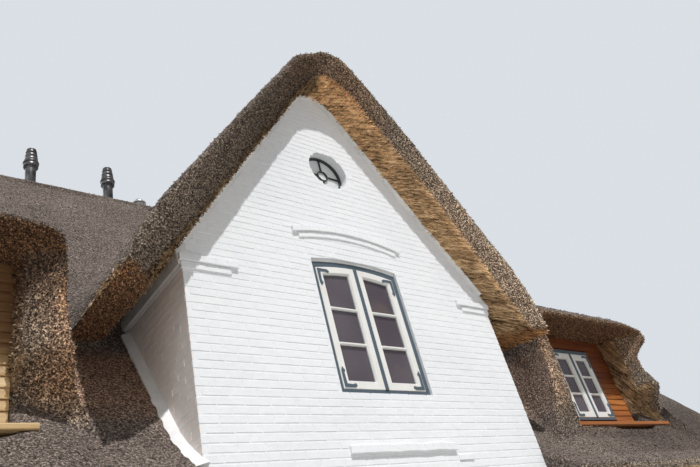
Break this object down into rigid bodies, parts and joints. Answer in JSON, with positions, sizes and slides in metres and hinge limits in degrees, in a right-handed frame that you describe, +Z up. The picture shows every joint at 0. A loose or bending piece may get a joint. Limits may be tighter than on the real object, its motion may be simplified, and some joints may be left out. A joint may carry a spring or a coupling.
{
  "type": "thatched cottage",
  "caption": "House with a hipped reed roof, a white brick front gable, thatched dormers with board fronts, and hollow rooms behind cut windows.",
  "frame": {"origin": "middle of the house's plan at ground level", "axes": "+X to the right along the front, +Y from the front into the house, +Z up"},
  "size_m": [19, 8.8, 9.42],
  "materials": {
    "thatch": "weathered reed",
    "white_brick": "white painted brick",
    "blue_grey_paint": "blue-grey gloss paint",
    "off_white_paint": "off-white gloss paint",
    "glass": "clear",
    "boards": "oiled boards",
    "dark_metal": "dark satin",
    "screed": "floated",
    "deck": "sawn",
    "door_paint": "blue-grey gloss paint"
  },
  "bodies": {
    "root": {"gable_wall": "white_brick", "rear_wall": "white_brick", "ground_floor": "screed", "attic_floor": "deck", "rear_windows": "blue_grey_paint", "thatch_rear": "thatch", "thatch_ridge": "thatch", "gable_thatch": "thatch", "gable_window_frame": "blue_grey_paint", "gable_window_glass": "glass", "round_window_frame": "blue_grey_paint", "round_window_glass": "glass", "window_hood": "white_brick", "door_hood": "white_brick", "door_frame": "blue_grey_paint", "front_door": "door_paint", "door_light": "glass", "vent_pipe_1": "dark_metal", "vent_pipe_2": "dark_metal", "vent_pipe_3": "dark_metal", "front_wall_left": "white_brick", "end_wall_left": "white_brick", "gable_cheek_left": "white_brick", "cornice_left": "white_brick", "front_windows_left": "blue_grey_paint", "end_windows_left": "blue_grey_paint", "thatch_front_left": "thatch", "thatch_hip_left": "thatch", "dormer_thatch_left": "thatch", "dormer_boards_left": "boards", "dormer_sill_left": "boards", "dormer_window_left": "off_white_paint", "dormer_glass_left": "glass", "gable_sash_left": "off_white_paint", "front_wall_right": "white_brick", "end_wall_right": "white_brick", "gable_cheek_right": "white_brick", "cornice_right": "white_brick", "front_windows_right": "blue_grey_paint", "end_windows_right": "blue_grey_paint", "thatch_front_right": "thatch", "thatch_hip_right": "thatch", "dormer_thatch_right": "thatch", "dormer_boards_right": "boards", "dormer_sill_right": "boards", "dormer_window_right": "off_white_paint", "dormer_glass_right": "glass", "gable_sash_right": "off_white_paint"}
  },
  "joints": []
}
